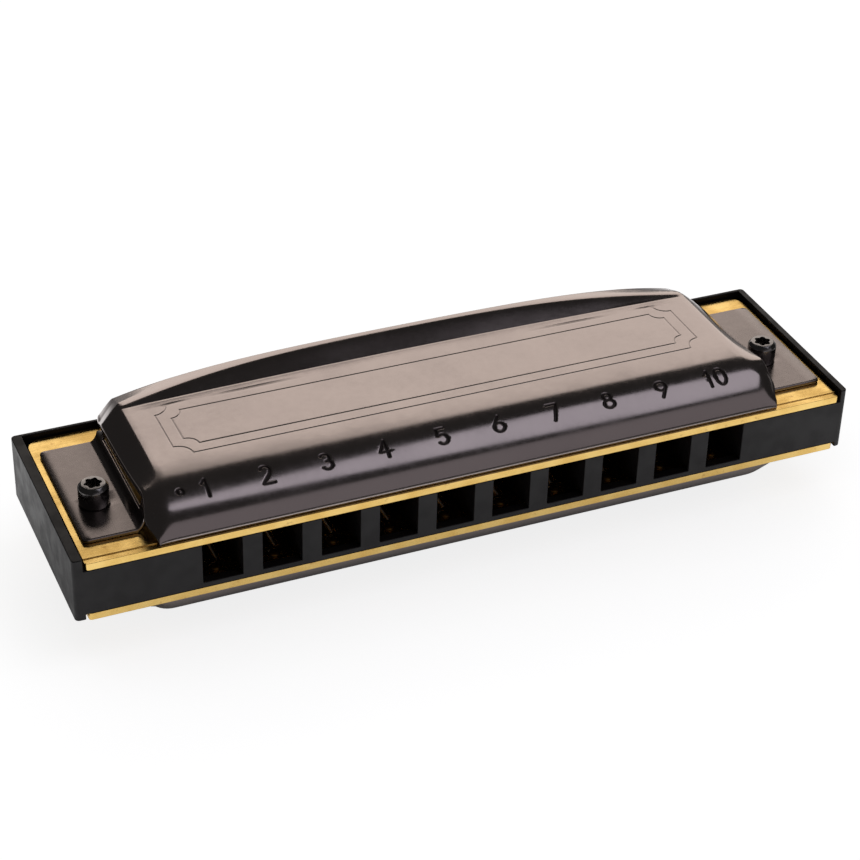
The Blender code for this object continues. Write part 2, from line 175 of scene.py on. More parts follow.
def prism(outline, z0, z1):
    """Upright prism over a closed outline of (x, y) points."""
    builder = bmesh.new()
    base = builder.faces.new([builder.verts.new((x, y, z0)) for x, y in outline])
    for item in bmesh.ops.extrude_face_region(builder, geom=[base])["geom"]:
        if isinstance(item, bmesh.types.BMVert):
            item.co.z = z1
    bmesh.ops.recalc_face_normals(builder, faces=builder.faces)
    return builder


def round_upright_edges(builder, choose, radius, segments):
    def upright(a, b):
        return abs(a.co.x - b.co.x) < 1e-6 and abs(a.co.y - b.co.y) < 1e-6

    edges = [edge for edge in builder.edges if upright(*edge.verts) and choose(edge.verts[0].co)]
    bmesh.ops.bevel(builder, geom=edges, offset=radius, segments=segments, profile=0.5, affect="EDGES")


def subtract(target, cutters):
    """Cut the given bmesh cutters out of the target one after another and keep the result."""
    helpers = []
    for number, cutter in enumerate(cutters):
        helper = from_builder(target.name + "_cutter_%d" % number, cutter, None)
        helpers.append(helper)
        step = target.modifiers.new("cut_%d" % number, "BOOLEAN")
        step.operation = "DIFFERENCE"
        step.solver = "EXACT"
        step.object = helper
    bake_modifiers(target)
    for helper in helpers:
        bpy.data.objects.remove(helper, do_unlink=True)


def bake_modifiers(target):
    bpy.context.view_layer.update()
    graph = bpy.context.evaluated_depsgraph_get()
    mesh = bpy.data.meshes.new_from_object(target.evaluated_get(graph))
    target.modifiers.clear()
    old = target.data
    target.data = mesh
    bpy.data.meshes.remove(old)


def soften(target, width, segments=2, angle=30.0):
    """Small rounded edges with normals that keep the flats flat."""
    mesh = target.data
    mesh.shade_smooth()
    bevel = target.modifiers.new("edges", "BEVEL")
    bevel.width = width * MM
    bevel.segments = segments
    bevel.limit_method = "ANGLE"
    bevel.angle_limit = math.radians(angle)
    bevel.harden_normals = True
    bevel.miter_outer = "MITER_ARC"
    bake_modifiers(target)


def round_outline(x, y, steps, start, reach):
    """Closed outline about (x, y), reach(turn) away from it."""
    turns = [start + 2 * math.pi * step / steps for step in range(steps)]
    return [(x + reach(turn) * math.cos(turn), y + reach(turn) * math.sin(turn)) for turn in turns]


def lathe(name, profile, steps, material, at, crease=40.0):
    """A surface turned about the upright axis at (x, y), from (radius, height) points from its top down."""
    points, faces, rings = [], [], []
    for radius, height in profile:
        count = steps if radius > 1e-6 else 1
        rings.append(range(len(points), len(points) + count))
        points += [(x, y, height) for x, y in round_outline(*at, count, 0.0, lambda turn: radius)]
    for upper, lower in zip(rings, rings[1:]):
        for step in range(steps):
            following = (step + 1) % steps
            if len(upper) == 1:
                faces.append((upper[0], lower[step], lower[following]))
            elif len(lower) == 1:
                faces.append((upper[following], upper[step], lower[0]))
            else:
                faces.append((upper[following], upper[step], lower[step], lower[following]))
    made = new_object(name, points, faces, material)
    made.data.set_sharp_from_angle(angle=math.radians(crease))
    return made


def rounded_rim(points, inner, edges, bulge):
    """Rounded cut edge of a sheet: extra points and faces that join the outer side to the inner one."""
    outward = np.zeros_like(points)
    for a, b, normal in edges:
        away = np.cross(points[b] - points[a], normal)
        size = np.linalg.norm(away)
        if size > 1e-9:
            outward[a] += away / size
            outward[b] += away / size
    on_rim = sorted({spot for edge in edges for spot in edge[:2]})
    extra, chains = [], {}
    for a in on_rim:
        away = outward[a] / max(np.linalg.norm(outward[a]), 1e-9)
        chains[a] = [a]
        for turn in np.radians((30.0, 65.0, 115.0, 150.0)):
            across = (inner[a] - points[a]) * (1 - math.cos(turn)) / 2
            chains[a].append(2 * len(points) + len(extra))
            extra.append(points[a] + across + away * bulge * math.sin(turn))
        chains[a].append(a + len(points))
    faces = []
    for a, b, _ in edges:
        for step in range(len(chains[a]) - 1):
            faces.append((chains[b][step], chains[a][step], chains[a][step + 1], chains[b][step + 1]))
    return extra, faces


# ---- stamped marks


def arc(cx, cy, rx, ry, start, end, count=40):
    turns = np.radians(np.linspace(start, end, count))
    return np.stack([cx + rx * np.cos(turns), cy + ry * np.sin(turns)], 1)


def line(*corners):
    rows = []
    for (x0, y0), (x1, y1) in zip(corners, corners[1:]):
        share = np.linspace(0.0, 1.0, 36)[:, None]
        rows.append(np.array([[x0, y0]]) * (1 - share) + np.array([[x1, y1]]) * share)
    return np.vstack(rows)


DIGIT_HALF_H, DIGIT_HALF_W = 1.2, 0.68
DIGIT_PITCH = 1.75


def digit_strokes(digit):
    """Centre lines of a plain engraved digit about its own middle, in millimetres."""
    h, w = DIGIT_HALF_H, DIGIT_HALF_W
    shapes = {
        "0": [arc(0, 0, w, h, 0, 360, 90)],
        "1": [line((-0.38, 0.58), (0.12, h), (0.12, -h))],
        "2": [arc(0, h - 0.56, 0.6, 0.56, 165, -38), line((0.47, 0.15), (-w, -h), (w, -h))],
        "3": [arc(0, 0.52, 0.54, 0.53, 150, -85), arc(0, -0.5, 0.64, 0.55, 85, -150)],
        "4": [line((0.25, -h), (0.25, h), (-w, -0.4), (w, -0.4))],
        "5": [line((0.55, h), (-0.42, h), (-0.5, 0.1)), arc(-0.02, -0.38, 0.66, 0.67, 128, -140)],
        "6": [arc(0, -0.42, w, 0.63, 0, 360, 70), line((0.34, h), (-0.56, -0.1))],
        "7": [line((-w, h), (w, h), (-0.18, -h))],
        "8": [arc(0, 0.55, 0.5, 0.5, 0, 360, 60), arc(0, -0.5, w, 0.55, 0, 360, 70)],
        "9": [arc(0, 0.42, w, 0.63, 0, 360, 70), line((0.58, 0.12), (-0.2, -h))],
    }
    return np.vstack(shapes[digit])


def mark_layout():
    """Every stamped mark of the front face: (middle x from the cover's middle, strokes)."""
    marks = []
    for number, hole in enumerate(HOLE_X):
        middle = hole - COVER_X - 0.5 + 0.05 * number
        text = str(number + 1)
        for place, digit in enumerate(text):
            shift = (place - (len(text) - 1) / 2) * DIGIT_PITCH
            marks.append((middle + shift, digit_strokes(digit)))
    marks.append((HOLE_X[0] - COVER_X - 3.6, arc(0, 0.15, 0.36, 0.36, 0, 360, 50)))
    return marks


MARKS = mark_layout()
MARK_Y = 4.2
MARK_DEPTH, MARK_HALF_WIDTH, MARK_WALL = 0.15, 0.16, 0.19
STAMP_LEVELS = 4
# the border's two lines: half length, front, back and the radius of the scooped corners
PLAQUE = ((35.6, 10.6, 21.75, 1.9), (33.9, 12.3, 20.05, 1.5))
PLAQUE_DEPTH, PLAQUE_HALF_WIDTH, PLAQUE_WALL = 0.05, 0.05, 0.09
FAR_OFF = 9.0


def smoothstep(share):
    return share * share * (3 - 2 * share)


def ramp(value, start, end):
    """0 up to start, 1 from end on and straight in between."""
    return min(1.0, max(0.0, (value - start) / (end - start)))


def groove(distance, half_width, soft):
    """0 outside a groove and 1 on its floor, with sloping walls."""
    return smoothstep(np.clip((half_width + soft / 2 - distance) / soft, 0.0, 1.0))


def along_front(y):
    """Length along the rounded front face from the middle of the row of digits."""
    middle = math.asin((FRONT_ROUND_Y - MARK_Y) / FRONT_ROUND)
    lean = (FRONT_ROUND_Y - np.minimum(y, FRONT_ROUND_Y)) / FRONT_ROUND
    return FRONT_ROUND * (middle - np.arcsin(np.clip(lean, -1, 1)))


def mark_distance(x, y):
    """Distance of each point to the nearest stamped stroke, in millimetres."""
    distance = np.full(len(x), FAR_OFF)
    along = along_front(y)
    for middle, strokes in MARKS:
        index = np.nonzero((np.abs(x - middle) < 2.2) & (np.abs(along) < 2.6) & (y < 7.5))[0]
        if not len(index):
            continue
        local = np.stack([x[index] - middle, along[index]], 1)
        near = np.sqrt(((local[:, None, :] - strokes[None, :, :]) ** 2).sum(2)).min(1)
        distance[index] = np.minimum(distance[index], near)
    return distance


def plaque_distance(x, y):
    """Distance of each point to the nearest line of the double border with scooped corners."""
    distance = np.full(len(x), FAR_OFF)
    for half_x, y0, y1, scoop in PLAQUE:
        middle, half_y = (y0 + y1) / 2, (y1 - y0) / 2
        dx, dy = np.abs(x) - half_x, np.abs(y - middle) - half_y
        box = np.hypot(np.maximum(dx, 0), np.maximum(dy, 0)) + np.minimum(np.maximum(dx, dy), 0)
        distance = np.minimum(distance, np.abs(np.maximum(box, scoop - np.hypot(dx, dy))))
    return distance


def stamped_depth(x, y):
    marks = MARK_DEPTH * groove(mark_distance(x, y), MARK_HALF_WIDTH, MARK_WALL)
    border = PLAQUE_DEPTH * groove(plaque_distance(x, y), PLAQUE_HALF_WIDTH, PLAQUE_WALL)
    return np.maximum(marks, border)


# ---- cover shape


def front_rise(y):
    return FLAT_RISE - FRONT_ROUND + math.sqrt(FRONT_ROUND**2 - (FRONT_ROUND_Y - y) ** 2)


def rear_rise(y, x):
    """Rise behind the flat: a crease, a slope up to the crest, then a gentle fall to the rear edge."""
    square = x * x
    foot = FOOT_Y - FOOT_CURVE * min(abs(x), FLAT_HALF) ** 2
    edge = REAR_EDGE_RISE - REAR_ARCH[0] * square - REAR_ARCH[1] * square * square
    fall = REAR_FALL + REAR_FALL_MORE * (x / 38.0) ** 4
    up = FLAT_RISE + REAR_SLOPE * (y - foot)
    down = edge + fall * (REAR_EDGE_Y - y)
    turn = CREST_ROUND * ((REAR_SLOPE + fall) / 2) ** 2
    roof = (up + down) / 2 - math.hypot((up - down) / 2, turn)
    swell = ramp(y, foot - 1.5, foot - 0.05) ** 2 * ramp(-abs(x), -38.5, -35.5)
    return max(roof, min(FLAT_RISE + FOOT_STEP * swell, down))


def profile_rise(y, x):
    """Rise of the dome above the plate face, from the front edge to the rear edge."""
    reach = PANEL_BEND_Y - PANEL_FRONT_Y
    lean = (FRONT_ROUND_Y - PANEL_FRONT_Y) / FRONT_ROUND
    sag = FLAT_RISE - lean * reach / 2
    if y <= PANEL_FRONT_Y:
        share = (PANEL_FRONT_Y - y) / PANEL_FRONT_Y
        return front_rise(y) - (front_rise(PANEL_FRONT_Y) - sag) * (1 - share * share)
    if y <= PANEL_BEND_Y:
        return FLAT_RISE - lean * (PANEL_BEND_Y - y) ** 2 / reach / 2
    return rear_rise(y, x) if y > FLAT_BACK_Y - 0.2 else FLAT_RISE


def foot_pull(y):
    """How much a row is drawn along with the curved crease at the foot of the rear slope."""
    start, full, still_full, end = FOOT_PULL
    return smoothstep(ramp(y, start, full)) * smoothstep(ramp(-y, -end, -still_full))


def dome_point(row, x):
    """(distance from mouth, rise) on the dome in one row.

    A row is (distance, fixed rise or None, how far past the rear edge or None). Past the rear edge
    0 to 1 goes round the bend and 1 to 2 down the lip.
    """
    y, rise, past = row
    if rise is not None:
        return y, rise
    if past is None:
        y -= FOOT_CURVE * min(abs(x), FLAT_HALF) ** 2 * foot_pull(y)
        return y, profile_rise(y, x)
    edge = rear_rise(REAR_EDGE_Y, x)
    lean = math.atan((rear_rise(REAR_EDGE_Y - 0.1, x) - edge) / 0.1)
    turn = lean + (math.pi / 2 - lean) * min(past, 1.0)
    across = REAR_EDGE_Y + REAR_BEND * (math.sin(turn) - math.sin(lean))
    down = REAR_BEND * (math.cos(lean) - math.cos(turn))
    if past > 1.0:
        across -= 0.1 * (past - 1.0)
        down += (max(REAR_LIP_SHARE * (edge - REAR_LIP_FOOT), down + 0.1) - down) * (past - 1.0)
    return across, edge - down


def end_half(y):
    """Half length of the dome: it bulges a little just behind the front corners."""
    bulge = 0.45 * math.exp(-(((y - 3.2) / 1.2) ** 2))
    tuck = 0.4 * math.exp(-y / 0.8)
    rear = 0.034 * max(0.0, y - 22.6) ** 2
    return END_HALF + bulge - tuck - rear


def end_drop(y):
    """How far the dome's end edge lies below the dome's own profile."""
    cheek = 1.35 * math.exp(-((abs(y - 2.9) / 1.85) ** 3))
    drop = cheek + 1.75 * (1 - math.exp(-max(0.0, y - 4.8) / 5.0))
    return drop + 0.08 * max(0.0, y - 22.4)


def bend_power(y):
    """How late the dome's ends bend down: late in front, gently further back."""
    return 2.6 - 1.3 * smoothstep(ramp(y, 3.4, 6.0))


def merged(wanted, fixed, gap):
    """Sorted stations: every fixed one, and the wanted ones that keep clear of their neighbours."""
    kept = sorted(fixed)
    for value in sorted(wanted):
        if all(abs(value - other) > gap for other in kept):
            kept.append(value)
    return sorted(kept)


BOLT_STEPS = (-1.0, -0.5, 0.0, 0.5, 1.0)


def cover_rows():
    """Rows from the front edge over the crest to the rear lip."""
    first = math.asin((FRONT_ROUND_Y - 0.8) / FRONT_ROUND)
    ys = [FRONT_ROUND_Y - FRONT_ROUND * math.sin(first * (1 - step / 20)) for step in range(21)]
    ys += list(np.linspace(FRONT_ROUND_Y + 0.3, FLAT_BACK_Y - 0.3, 26))
    ys += [TAB_FRONT + step for step in (0.06, 0.2, TAB_CORNER)]
    ys += [TAB_BACK - step for step in (0.06, 0.2, TAB_CORNER)]
    ys += [*np.arange(22.2, 23.1, 0.2), *np.arange(23.6, REAR_EDGE_Y - 0.1, 0.2)]
    fixed = [0.8, TAB_FRONT, TAB_BACK, VENT_FRONT, VENT_BACK, FLAT_BACK_Y, REAR_EDGE_Y]
    fixed += [FOOT_Y + step for step in (-0.12, -0.05, 0.0, 0.06, 0.11, 0.16, 0.24)]
    fixed += [BOLT_Y + BOLT_HOLE_R * share for share in BOLT_STEPS]
    rows = [(FRONT_EDGE_Y, rise, None) for rise in (0.05, 0.15, FRONT_EDGE_RISE)] + [(0.58, None, None)]
    rows += [(y, None, None) for y in merged(ys, fixed, 0.12)]
    rows += [(REAR_EDGE_Y + REAR_BEND * step / 8, None, step / 8) for step in range(1, 9)]
    return rows + [(REAR_EDGE_Y + REAR_BEND, None, past) for past in (1.3, 1.6, 1.85, 2.0)]


# (outwards, up) from the dome's end edge, and from the inner edge of the tab
SKIRT = ((0.085, -0.055), (0.165, -0.14), (0.225, -0.245), (0.265, -0.36), (0.29, -0.48), (0.30, -0.66))
WALL = ((-1.0, 1.38), (-0.88, 0.85), (-0.66, 0.45), (-0.46, 0.22), (-0.30, 0.09), (-0.14, 0.02), (0.0, 0.0))


def tab_edge(y):
    """X of the tab's outer edge, with small rounded corners."""
    nearest = min(y - TAB_FRONT, TAB_BACK - y)
    if nearest >= TAB_CORNER:
        return TAB_OUT
    return TAB_OUT - TAB_CORNER + math.sqrt(max(0.0, TAB_CORNER**2 - (TAB_CORNER - nearest) ** 2))


def end_points(row, inner, bolt_x):
    """Points past the dome's flat at one end, going outwards: (key, x, distance from mouth, rise)."""
    y = row[0]
    lip_x = end_half(y)
    points = []
    for step in range(1, 11):
        share = step / 10
        x = FLAT_HALF + (lip_x - FLAT_HALF) * share
        ry, rz = dome_point(row, x)
        drop = min(end_drop(y), 0.5 * rz) * share ** bend_power(y)
        points.append(("dome%02d" % step, x, ry, rz - drop))
    ry, rz = points[-1][2:]
    turn = ramp(rz, 0.2, 1.6)
    for step, (out, up) in enumerate(SKIRT):
        apart = 0.002 * step
        points.append(("skirt%d" % step, lip_x + out * turn + apart, ry, rz + up * turn - apart))
    if row[2] is not None or not TAB_FRONT - 1e-6 <= y <= TAB_BACK + 1e-6:
        return points
    for step, (out, up) in enumerate(WALL):
        points.append(("wall%d" % step, inner + out, y, SHEET + up))
    for step, share in enumerate(BOLT_STEPS):
        points.append(("bolt%d" % step, bolt_x + share * BOLT_HOLE_R, y, SHEET))
    points.append(("tabmid", (bolt_x + BOLT_HOLE_R + TAB_OUT) / 2, y, SHEET))
    points.append(("tabout", tab_edge(y), y, SHEET))
    return points


def ring_the_bolt(points, rows, grid, letter, bolt_x):
    """Moves the square of grid points round a bolt hole onto its circle. Returns the cells inside it."""
    reach = BOLT_HOLE_R + 1e-6
    inside = [i for i, row in enumerate(rows) if row[2] is None and abs(row[0] - BOLT_Y) < reach]
    keys = ["%sbolt%d" % (letter, step) for step in range(len(BOLT_STEPS))]
    for index in inside:
        for key in keys:
            spot = points[grid[index][key]]
            dx, dy = abs(spot[0]) - bolt_x, spot[1] - BOLT_Y
            far = max(abs(dx), abs(dy))
            if far > 1e-9:
                scale = far / math.hypot(dx, dy)
                spot[0] = math.copysign(bolt_x + dx * scale, spot[0])
                spot[1] = BOLT_Y + dy * scale
    cells = set()
    for upper in inside[:-1]:
        for left, right in zip(keys, keys[1:]):
            cells |= {(upper, left, right), (upper, right, left)}
    return cells


def split_cells(cells, position, levels):
    """Splits dome cells in four again and again where something is stamped near them."""
    unit = 2**levels
    todo = [(row * unit, column * unit, unit) for row, column in cells]
    leaves = []
    for level in range(levels + 1):
        near_enough = 0.2 / (level + 1) ** 1.5
        corners, sizes = np.array(todo, float)[:, :2], np.array(todo, float)[:, 2:]
        x, y = position(corners + sizes / 2)
        x0, y0 = position(corners)
        reach = 1.1 * np.hypot(x - x0, y - y0)
        digits = mark_distance(x, y) - reach - MARK_HALF_WIDTH
        border = plaque_distance(x, y) - reach - PLAQUE_HALF_WIDTH
        near = (digits < near_enough) & (level < levels)
        near |= (border < near_enough) & (level < levels - 1)
        following = []
        for (r, c, size), split in zip(todo, near):
            if not split:
                leaves.append((r, c, size))
                continue
            size //= 2
            following += [(r + down, c + on, size) for on in (0, size) for down in (0, size)]
        todo = following
        if not todo:
            break
    return leaves


def cell_face(grid, row, a, b):
    return grid[row][a], grid[row][b], grid[row + 1][b], grid[row + 1][a]


def walk_cell(r, c, size, known):
    """Corners of a cell in order, with the points its smaller neighbours put on its sides."""
    end_r, end_c = r + size, c + size
    steps = [((r, c + k), (r + k, end_c), (end_r, end_c - k), (end_r - k, c)) for k in range(size)]
    return [spot for side in zip(*steps) for spot in side if spot in known]


def build_cover(node, side, levels, material):
    """Pressed cover. Side 1 is the upper one and -1 the lower one; a plain one has no levels of splitting.

    Points are kept row by row: numbers count along the dome, and L or R before a key tells the end.
    """
    rows = cover_rows()
    xs = list(np.linspace(-FLAT_HALF, FLAT_HALF, 107 if levels else 61))
    bolts = (COVER_X - BOLTS[0][0], BOLTS[1][0] - COVER_X)
    points, grid = [], []
    for row in rows:
        here = {}
        for letter, sign, inner, bolt_x in zip("LR", (-1, 1), TAB_IN, bolts):
            for key, x, y, rise in end_points(row, inner, bolt_x):
                here[letter + key] = len(points)
                points.append([sign * x, y, rise])
        for number, x in enumerate(xs):
            here[number] = len(points)
            points.append([x, *dome_point(row, x)])
        grid.append(here)
    longest = max(grid, key=len)
    left = [key for key in longest if str(key)[0] == "L"][::-1]
    right = [key for key in longest if str(key)[0] == "R"]
    gone = ring_the_bolt(points, rows, grid, "L", bolts[0])
    gone |= ring_the_bolt(points, rows, grid, "R", bolts[1])
    ends, dome = [], []
    gap = {"skirt%d" % (len(SKIRT) - 1), "wall0"}
    for index in range(len(rows) - 1):
        middle = (rows[index][0] + rows[index + 1][0]) / 2
        for line_keys in (left + [0], [len(xs) - 1] + right):
            for a, b in zip(line_keys, line_keys[1:]):
                if any(key not in grid[i] for i in (index, index + 1) for key in (a, b)):
                    continue
                if {str(a)[1:], str(b)[1:]} == gap and VENT_FRONT < middle < VENT_BACK:
                    continue
                if (index, a, b) not in gone:
                    ends.append(cell_face(grid, index, a, b))
        dome += [(index, number) for number in range(len(xs) - 1)]
    base_dome = [cell_face(grid, row, column, column + 1) for row, column in dome]

    base = np.array(points)
    normals = smooth_normals(base, np.array(ends + base_dome))
    thickness, vent_shade_and_tab_dulling = np.full(len(base), SHEET - 0.01), np.zeros(len(base))
    for here in grid:
        for key, spot in here.items():
            label = str(key)[1:]
            if label.startswith("skirt"):
                thickness[spot] = 0.3
            elif label.startswith(("bolt", "tab", "wall")):
                # painted shade on the vent walls under the dome's ends; the tabs are only made darker and
                # rougher
                vent_shade_and_tab_dulling[spot] = 0.8 if label in ("wall0", "wall1", "wall2") else 0.42
    inner_side = base - normals * thickness[:, None]

    dome_faces, fine = base_dome, np.zeros((0, 3))
    if levels:
        unit = 2**levels
        row_y = np.array([row[0] for row in rows])
        first = next(i for i, row in enumerate(rows) if row[0] > 1.0)
        last = next(i for i, row in enumerate(rows) if row[0] > FLAT_BACK_Y - 0.3)

        def position(where):
            row, column = where.T / unit
            return np.interp(column, range(len(xs)), xs), np.interp(row, range(len(rows)), row_y)

        chosen = [cell for cell in dome if first <= cell[0] < last and 0 < cell[1] < len(xs) - 2]
        plain = set(dome) - set(chosen)
        leaves = split_cells(chosen, position, levels)
        leaves += [(r * unit, c * unit, unit) for r, c in sorted(plain)]
        corners = [(r + down, c + on) for r, c, size in leaves for down in (0, size) for on in (0, size)]
        number_of = {spot: grid[spot[0] // unit][spot[1] // unit] for spot in corners}
        new = [spot for spot in number_of if spot[0] % unit or spot[1] % unit]
        number_of.update((spot, len(base) + number) for number, spot in enumerate(new))
        x, y = position(np.array(new, float))
        fine = np.array([(px, *dome_point((py, None, None), px)) for px, py in zip(x, y)])
        dome_faces = [[number_of[spot] for spot in walk_cell(*leaf, number_of)] for leaf in leaves]

    # the outer side: base points, then the fine ones; both are pressed in where something is stamped
    outer = np.vstack([base, fine])
    slope = np.maximum(0.0, FRONT_ROUND_Y - fine[:, 1]) / FRONT_ROUND
    fine_normals = np.stack([np.zeros(len(fine)), -slope, np.sqrt(1 - slope**2)], 1)
    outer_normals = np.vstack([normals, fine_normals])
    painted_shade_and_dulling = np.concatenate([vent_shade_and_tab_dulling, np.zeros(len(fine))])
    if levels:
        marked = (outer[:, 1] > 1.0) & (outer[:, 1] < 21.9) & (np.abs(outer[:, 0]) < 38.0)
        marked[: len(base)] &= np.isin(np.arange(len(base)), np.array(base_dome).ravel())
        depth = np.zeros(len(outer))
        depth[marked] = stamped_depth(outer[marked, 0], outer[marked, 1])
        outer = outer - outer_normals * depth[:, None]
        # painted shade in the stamped grooves: the deeper the point, the darker its colour
        painted_shade_and_dulling = np.maximum(painted_shade_and_dulling, np.minimum(1.0, depth / MARK_DEPTH * 1.2))

    # the cut edge all round, and round the vents and bolt holes
    seen = dict.fromkeys(edge for face in ends + base_dome for edge in zip(face, face[1:] + face[:1]))
    open_edges = [(a, b, (normals[a] + normals[b]) / 2) for a, b in seen if (b, a) not in seen]
    extra, rim_faces = rounded_rim(base, inner_side, open_edges, 0.09)

    count, shift = len(base), len(fine)
    everything = np.vstack([outer, inner_side, np.array(extra)])
    faces = [*ends, *dome_faces]
    faces += [[spot + count + shift for spot in face[::-1]] for face in ends + base_dome]
    faces += [[spot if spot < count else spot + shift for spot in face] for face in rim_faces]
    seated = everything + np.array([COVER_X, MOUTH, 0.0])
    low_edge = everything[:, 1] < FRONT_EDGE_Y + 0.7
    rise = seated[:, 2] - np.where(low_edge & (everything[:, 2] < 0.05), 0.05, 0.0)
    seated[:, 2] = MID_Z + side * (PLATE_FACE + SEAT + rise)
    if side < 0:
        faces = [face[::-1] for face in faces]
    made = new_object(node + "_detail", seated, faces, material)
    # painted shade: the inner side of the sheet is darkened fully, and is rougher
    mark = made.data.attributes.new("painted_shade_and_dulling", "FLOAT", "POINT")
    painted_shade_and_dulling = np.concatenate([painted_shade_and_dulling, np.ones(count), np.zeros(len(extra))])
    mark.data.foreach_set("value", painted_shade_and_dulling)
    return settle(made, node, ROOT)


def smooth_normals(points, quads):
    flat = np.cross(points[quads[:, 2]] - points[quads[:, 0]], points[quads[:, 3]] - points[quads[:, 1]])
    flat /= np.maximum(np.linalg.norm(flat, axis=1), 1e-12)[:, None]
    normals = np.zeros_like(points)
    for corner in range(4):
        np.add.at(normals, quads[:, corner], flat)
    return normals / np.maximum(np.linalg.norm(normals, axis=1), 1e-12)[:, None]


def settle(made, node, body):
    """The piece rides on its body and stands for its CAD node, which is hidden."""
    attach(made, body)
    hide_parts(node)
    return made


# ---- comb and plates


SLOT_FRONT = MOUTH + SLOT_START
SLOTS = list(zip(HOLE_X, SLOT_FRONT + np.linspace(SLOT_LONG, SLOT_SHORT, len(HOLE_X))))
SCREWS = [upright_box("upper_plate_screw_%d" % number)[:2] for number in range(1, 6)]


def drillings(z0, z1):
    """Cutters for the two bolt holes and the five screw holes."""
    drills = bmesh.new()
    for x, y in BOLTS:
        add_rod(drills, x, y, z0, z1, BOLT_HOLE_R, 32)
    for x, y in SCREWS:
        add_rod(drills, x, y, z0, z1, SCREW_HOLE_R, 24)
    return drills


def build_comb(material):
    """Moulded comb: ten square chambers, a rim at the ends and back, and a low sill in each mouth."""
    low, high = MID_Z - HALF_CORE, MID_Z + HALF_CORE
    body = bmesh.new()
    add_box(body, COMB_LOW, COMB_HIGH)
    round_upright_edges(body, lambda co: True, CORNER_ROUND, 6)
    comb = from_builder("comb_detail", body, material)

    seats = bmesh.new()
    left, right = COMB_LOW[0] + END_RIMS[0], COMB_HIGH[0] - END_RIMS[1]
    inner_back = COMB_HIGH[1] - BACK_RIM
    add_box(seats, (left, MOUTH - 2, high), (right, inner_back, high + 4))
    add_box(seats, (left, MOUTH - 2, low - 4), (right, inner_back, low))
    mouths, chambers = bmesh.new(), bmesh.new()
    for x, slot_back in SLOTS:
        x0, x1, sill = x - HOLE_WIDTH / 2, x + HOLE_WIDTH / 2, MOUTH + SILL_DEPTH
        add_box(mouths, (x0, MOUTH - 2, low + SILL_HEIGHT), (x1, sill + 1, high + 1))
        add_box(chambers, (x0, sill, low - 1), (x1, slot_back + PAST_SLOT, high + 1))
    subtract(comb, [seats, mouths, chambers, drillings(low - 3, high + 3)])
    soften(comb, 0.11, 3)
    return settle(comb, "comb", ROOT)


def build_plate(name, node, side, material):
    """Brass reed plate with ten slots, its holes and the groove that takes the cover's front edge."""
    body = bmesh.new()
    low, high = box_mm(node)
    add_box(body, low, high)
    round_upright_edges(body, lambda co: co.y > 0, PLATE_BACK_ROUND, 10)
    round_upright_edges(body, lambda co: co.y < 0, PLATE_FRONT_ROUND, 4)
    plate = from_builder(name, body, material)
    z0, z1 = low[2] - 1, high[2] + 1
    punch = bmesh.new()
    for x, slot_back in SLOTS:
        add_box(punch, (x - SLOT_WIDTH / 2, SLOT_FRONT, z0), (x + SLOT_WIDTH / 2, slot_back, z1))
        add_rod(punch, x, MOUTH + RIVET_Y, z0, z1, RIVET_HOLE_R, 20)
    outer = high[2] if side > 0 else low[2]
    g0, g1 = sorted((outer - side * GROOVE_DEPTH, outer + side))
    groove_cut = bmesh.new()
    y0 = MOUTH + GROOVE_FRONT
    add_box(groove_cut, (low[0] - 1, y0, g0), (high[0] + 1, y0 + GROOVE_WIDTH, g1))
    subtract(plate, [punch, drillings(z0, z1), groove_cut])
    soften(plate, 0.05, 2)
    return settle(plate, node, ROOT)


def build_reed(node, number, material):
    """Reed tongue: a riveted pad, a tapered neck and a tongue that rises a little towards its tip."""
    low, high = box_mm(node)
    root, pad_half = MOUTH + RIVET_Y, 1.3
    tip = high[1]
    pad, tongue = (high[0] - low[0]) / 2, 1.15
    seat, thick = 0.08, 0.24
    top = high[2] - seat
    length = tip - root
    ys = [-pad_half, -pad_half + 0.02, -pad_half + 0.12, -pad_half + 0.3]
    ys += [0.0, pad_half - 0.35, pad_half - 0.2, pad_half]
    ys += list(np.linspace(pad_half + 0.4, length - 0.06, 26)) + [length]
    across = (-1.0, -0.965, -0.5, 0.0, 0.5, 0.965, 1.0)
    points, faces = [], []
    for y in ys:
        half = tongue
        if y < pad_half:
            half = pad if y <= pad_half - 0.35 else pad + (tongue - pad) * (y - pad_half + 0.35) / 0.35
            corner = 0.3 - (y + pad_half)
            if corner > 0:
                half = pad - 0.3 + math.sqrt(max(0.0, 0.09 - corner * corner))
        along = max(0.0, (y - pad_half) / (length - pad_half))
        rise = seat + 0.2 * along * along
        # the tongue is ground thinner in its first third and left thicker at the tip
        ground = 0.05 * math.sin(math.pi * min(1.0, along * 1.25)) ** 2
        for level in (0, 1):
            for share in across:
                edge = 0.02 if abs(share) == 1.0 else 0.0
                lift = rise + edge if level == 0 else rise + thick - ground - edge
                points.append((HOLE_X[number] + half * share, root + y, top + seat - lift))
    n = len(across)
    ring = [*range(n), *range(2 * n - 1, n - 1, -1)]
    last = (len(ys) - 1) * 2 * n
    for a in range(0, last, 2 * n):
        b = a + 2 * n
        faces += [(a + p, a + q, b + q, b + p) for p, q in zip(ring, ring[1:] + ring[:1])]
    for k in range(n - 1):
        faces.append((k + 1, k, n + k, n + k + 1))
        faces.append((last + k, last + k + 1, last + n + k + 1, last + n + k))
    made = new_object(node + "_detail", points, faces, material)
    made.data.set_sharp_from_angle(angle=math.radians(50))
    return settle(made, node, node)


